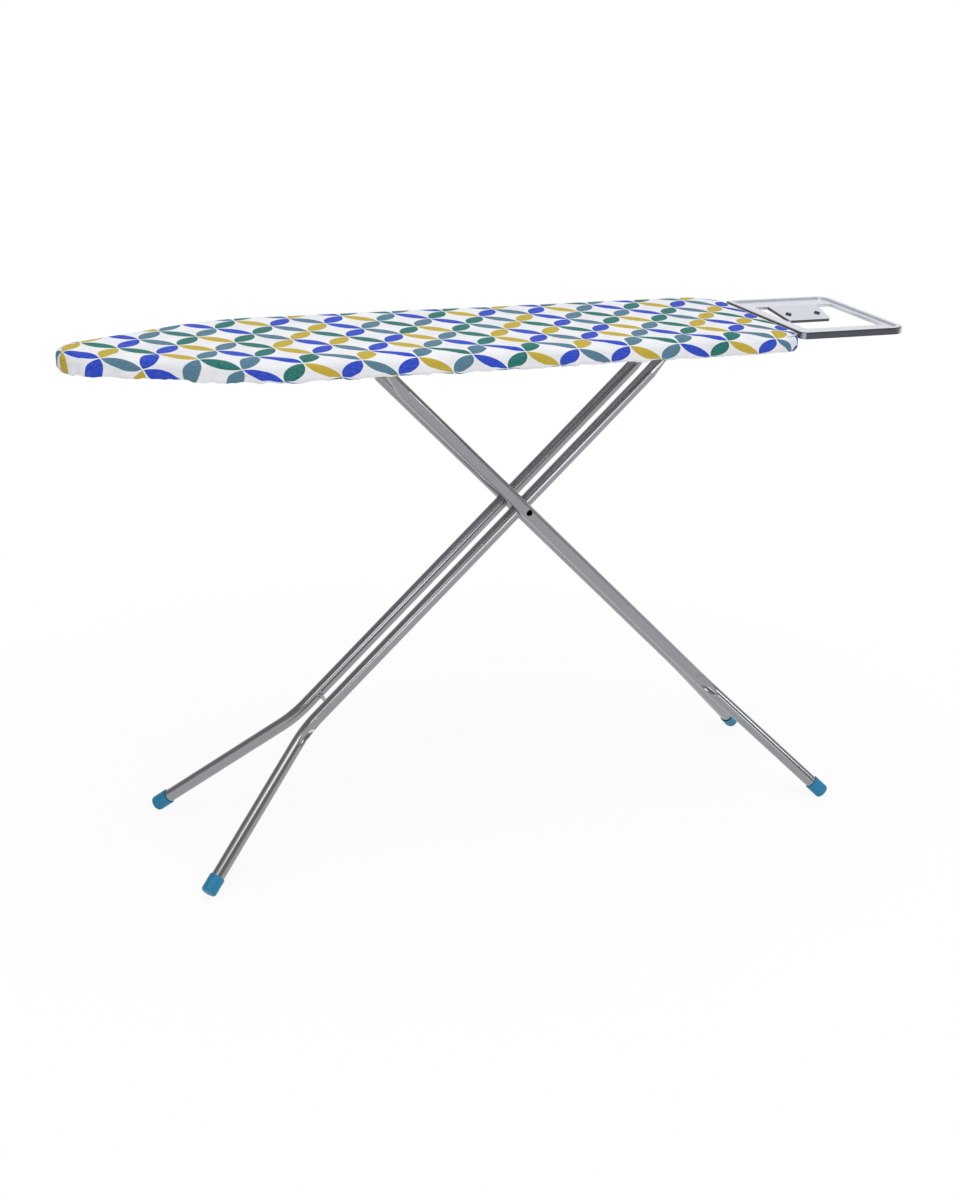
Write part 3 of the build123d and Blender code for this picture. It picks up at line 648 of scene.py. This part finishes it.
class IRON_OT_pad(bpy.types.Operator):
    """The foam pad between the cover and the deck."""
    bl_idname = "ironing.pad"
    bl_label = "Pad"

    def execute(self, context):
        sizes = context.scene.board_sizes
        low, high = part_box("foam_pad")
        edge = board_edge(sizes, PAD_STEP)
        base, top = low[2], high[2] - COVER_ROOM
        # Inset and height of each ring, from the underside round the soft edge to the top
        section = [(inset, base + up) for inset, up in PAD_LOWER_EDGE]
        section += [(inset, top - down) for inset, down in PAD_UPPER_EDGE]
        rings = []
        for i in range(PAD_RINGS, 0, -1):
            rings.append([(p.x, p.y, base) for p, normal in drawn_in(edge, i / PAD_RINGS)])
        for inset, height in section:
            ring = []
            for point, normal in edge:
                place = point - normal * inset
                press = (height - base) / (top - base)
                ring.append((place.x, place.y, height - droop(sizes, place.x) * press * PAD_YIELD))
            rings.append(ring)
        for i in range(1, PAD_RINGS + 1):
            ring = []
            for place, normal in drawn_in(edge, i / PAD_RINGS):
                swell = PAD_SWELL * ripple(place, SWELL_WIDTH, 0)
                ring.append((place.x, place.y, top + swell - droop(sizes, place.x) * PAD_YIELD))
            rings.append(ring)
        piece = ring_piece("foam_pad_dressed", rings)
        # Open-cell polyurethane foam: dull and pitted, a little yellowed
        foam = hard_finish("open_cell_foam", context.scene.hard_colours.foam, rough=0.9, metallic=0.0,
                           grain_mm=1.2, bump_mm=0.6, spread=0.08)
        piece.data.materials.append(foam)
        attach(piece, "board")
        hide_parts("foam_pad")
        return {"FINISHED"}


class IRON_OT_legs(bpy.types.Operator):
    """Leg tubes, foot caps, and the plated and moulded small pieces."""
    bl_idname = "ironing.legs"
    bl_label = "Legs"

    def execute(self, context):
        colours = context.scene.hard_colours
        # Drawn steel tube under thin silver lacquer: long clear streaks and a dark side
        lacquer = hard_finish("silver_lacquered_tube", colours.leg, rough=0.17, metallic=1.0,
                              grain_mm=1.4, bump_mm=0.002, spread=0.02, wander=0.012)
        dress(lacquer, ["inner_tube_front", "inner_tube_back", "outer_tube_front", "outer_tube_back"])
        # Polypropylene from a grained mould: satin, with a soft wide highlight
        cap = hard_finish("moulded_blue_polypropylene", colours.cap, rough=0.42, metallic=0.0,
                          grain_mm=0.7, bump_mm=0.08)
        dress(cap, ["inner_foot_cap_front", "inner_foot_cap_back", "outer_foot_cap_front",
                    "outer_foot_cap_back", "latch_grip"])
        # Zinc-plated steel: bright, with blurred reflections
        zinc = hard_finish("zinc_plated_steel", colours.zinc, rough=0.34, metallic=1.0,
                           grain_mm=1.5, bump_mm=0.04)
        dress(zinc, ["inner_spacer_pin", "outer_spacer_pin", "hinge_rod", "slide_rod", "pivot_rivet",
                     "pivot_sleeve", "clip_rivets", "rail_rivets", "rest_rod_front", "rest_rod_back",
                     "latch_shaft"])
        # Moulded nylon: dark and nearly matt
        bush = hard_finish("moulded_dark_nylon", colours.dark, rough=0.5, metallic=0.0,
                           grain_mm=0.8, bump_mm=0.06)
        dress(bush, ["hinge_rod_caps", "slide_glide_front", "slide_glide_back", "pivot_washers"])
        return {"FINISHED"}


class IRON_OT_deck(bpy.types.Operator):
    """Lacquered deck, rim, ribs, rails, clips and latch."""
    bl_idname = "ironing.deck"
    bl_label = "Deck and latch"

    def execute(self, context):
        colours = context.scene.hard_colours
        # Pressed steel sheet under silver-grey lacquer: satin, with a faint orange-peel grain
        lacquer = hard_finish("grey_lacquered_sheet", colours.deck, rough=0.42, metallic=1.0,
                              grain_mm=1.1, bump_mm=0.06)
        dress(lacquer, ["deck_sheet", "deck_rim", "rib_tail", "rib_hinge", "rib_rear", "rib_nose",
                        "latch_ears", "slide_rail_front", "slide_rail_back", "hinge_clip_front",
                        "hinge_clip_back", "latch_comb", "latch_handle"])
        # Tempered spring strip: dark blue-grey metal
        spring = hard_finish("tempered_spring_steel", colours.spring, rough=0.3, metallic=1.0,
                             grain_mm=2.0, bump_mm=0.03)
        dress(spring, ["latch_spring"])
        return {"FINISHED"}


class IRON_OT_rest(bpy.types.Operator):
    """Silver lacquered iron rest with its two rubber pads."""
    bl_idname = "ironing.rest"
    bl_label = "Iron rest"

    def execute(self, context):
        colours = context.scene.hard_colours
        # Pressed sheet under glossy silver lacquer: pale, with soft reflections, and a painted dark
        # reflection on its bent-down edges
        lacquer = hard_finish("silver_lacquered_pressing", colours.rest, rough=0.2, metallic=0.6,
                              grain_mm=1.6, bump_mm=0.003, spread=0.02, wander=0.04, painted_edge_shade=colours.painted_edge_shade)
        dress(lacquer, ["iron_rest"])
        # Moulded rubber: black and matt
        rubber = hard_finish("black_rubber", colours.rubber, rough=0.7, metallic=0.0,
                             grain_mm=0.8, bump_mm=0.1)
        dress(rubber, ["rest_pads"])
        return {"FINISHED"}


def studio_floor_finish(stage):
    """Pale matt floor, mostly white to the eye and the metal, more so farther off; it keeps the shadow."""
    made, tree, shader = material("pale_studio_floor")
    shader.inputs["Base Color"].default_value = linear(stage.floor)
    shader.inputs["Roughness"].default_value = 0.9
    shader.inputs["Specular IOR Level"].default_value = 0.1
    place = add(tree, "TexCoord", out=3)
    away = add(tree, "VectorMath", {0: place}, out=1, operation="LENGTH")
    away = add(tree, "MapRange",
               {"Value": away, "From Min": FLOOR_NEAR, "From Max": FLOOR_FAR, "To Min": FLOOR_WHITE},
               interpolation_type="SMOOTHSTEP")
    path = add(tree, "LightPath").node.outputs
    seen = add(tree, "Math", {0: path["Is Camera Ray"], 1: path["Is Glossy Ray"]}, operation="ADD")
    seen = add(tree, "Math", {0: seen, 1: path["Is Transmission Ray"]}, operation="ADD", use_clamp=True)
    away = add(tree, "Math", {0: away, 1: seen}, operation="MULTIPLY")
    glow = add(tree, "Emission", {"Color": (1, 1, 1, 1), "Strength": 1.0})
    lit = add(tree, "MixShader", {0: away, 1: shader.outputs[0], 2: glow})
    tree.links.new(lit, tree.nodes["Material Output"].inputs["Surface"])
    return made


def studio_air():
    """A white backdrop all round, greyer above it, with a bright top and one tall white wall at the back."""
    world = bpy.data.worlds.new("studio_air")
    world.use_nodes = True
    tree = world.node_tree
    aim = add(tree, "TexCoord", out=0)
    rise = add(tree, "SeparateXYZ", {0: aim}, out=2)
    rise = add(tree, "MapRange", {"Value": rise, "From Min": -1.0, "From Max": 1.0})
    shade = add(tree, "ValToRGB", {0: rise}, stops=[(place, (g, g, g, 1)) for place, g in AIR_GREYS])
    wall = add(tree, "VectorMath", {0: aim, 1: WALL_AIM}, out=1, operation="DOT_PRODUCT")
    wall = add(tree, "MapRange", {"Value": wall, "From Min": 0.45, "From Max": 0.8})
    shade = add(tree, "Mix", {"Factor": wall, 6: shade, 7: (1, 1, 1, 1)}, out=2, data_type="RGBA")
    tree.links.new(shade, tree.nodes["Background"].inputs["Color"])
    return world


def studio_lamps():
    """Soft area lamps, each turned to its target and rolled."""
    for name, place, target, size, roll, power in LAMPS:
        lamp = bpy.data.lights.new(name + "_lamp", "AREA")
        lamp.shape = "RECTANGLE"
        lamp.size, lamp.size_y = size
        lamp.energy = power
        holder = bpy.data.objects.new(name + "_lamp", lamp)
        holder.location = place
        aim = Vector(target) - Vector(place)
        turn = aim.to_track_quat("-Z", "Y") @ Quaternion((0, 0, 1), radians(roll))
        holder.rotation_euler = turn.to_euler()
        bpy.context.scene.collection.objects.link(holder)


def studio_camera(stage):
    """The camera at its place, turned by its yaw, pitch and roll."""
    lens = bpy.data.cameras.new("view")
    lens.lens = stage.lens
    lens.sensor_width = SENSOR_MM
    lens.clip_end = VIEW_END
    camera = bpy.data.objects.new("view", lens)
    level = cos(stage.pitch)
    ahead = Vector((sin(stage.yaw) * level, cos(stage.yaw) * level, -sin(stage.pitch)))
    right = Vector((cos(stage.yaw), -sin(stage.yaw), 0))
    up = right.cross(ahead)
    leaned_right = right * cos(stage.roll) + up * sin(stage.roll)
    leaned_up = up * cos(stage.roll) - right * sin(stage.roll)
    turn = Matrix((leaned_right, leaned_up, -ahead)).transposed().to_4x4()
    camera.matrix_world = Matrix.Translation(CAMERA_PLACE) @ turn
    bpy.context.scene.collection.objects.link(camera)
    return camera


class IRON_OT_stage(bpy.types.Operator):
    """Pale floor, soft lamps and the camera."""
    bl_idname = "ironing.stage"
    bl_label = "Stage"

    def execute(self, context):
        stage = context.scene.stage_settings
        bpy.ops.object.select_all(action="DESELECT")
        bpy.ops.mesh.primitive_plane_add(size=FLOOR_SIZE, location=(0, 0, 0))
        floor = context.active_object
        floor.name = "studio_floor"
        floor.data.materials.append(studio_floor_finish(stage))
        studio_lamps()
        context.scene.world = studio_air()
        context.scene.camera = studio_camera(stage)
        context.scene.view_settings.view_transform = "Standard"
        return {"FINISHED"}


class IRON_PT_panel(bpy.types.Panel):
    """Lists the steps in the order that they are made."""
    bl_idname = "IRON_PT_panel"
    bl_label = "Ironing board"
    bl_space_type = "VIEW_3D"
    bl_region_type = "UI"
    bl_category = "Ironing board"

    def draw(self, context):
        for step in STEPS:
            self.layout.operator(step.bl_idname)


GROUPS = {
    "board_sizes": BoardSizes,
    "print_colours": PrintColours,
    "hard_colours": HardColours,
    "stage_settings": StageSettings,
}
STEPS = (IRON_OT_stage, IRON_OT_cover, IRON_OT_pad, IRON_OT_legs, IRON_OT_deck, IRON_OT_rest)


def register():
    for name, group in GROUPS.items():
        bpy.utils.register_class(group)
        setattr(bpy.types.Scene, name, bpy.props.PointerProperty(type=group))
    for step in STEPS + (IRON_PT_panel,):
        bpy.utils.register_class(step)


def unregister():
    for step in STEPS + (IRON_PT_panel,):
        bpy.utils.unregister_class(step)
    for name, group in GROUPS.items():
        delattr(bpy.types.Scene, name)
        bpy.utils.unregister_class(group)


def main():
    register()
    bpy.ops.ironing.stage()
    bpy.ops.ironing.cover()
    bpy.ops.ironing.pad()
    bpy.ops.ironing.legs()
    bpy.ops.ironing.deck()
    bpy.ops.ironing.rest()


if __name__ == "__main__":
    main()
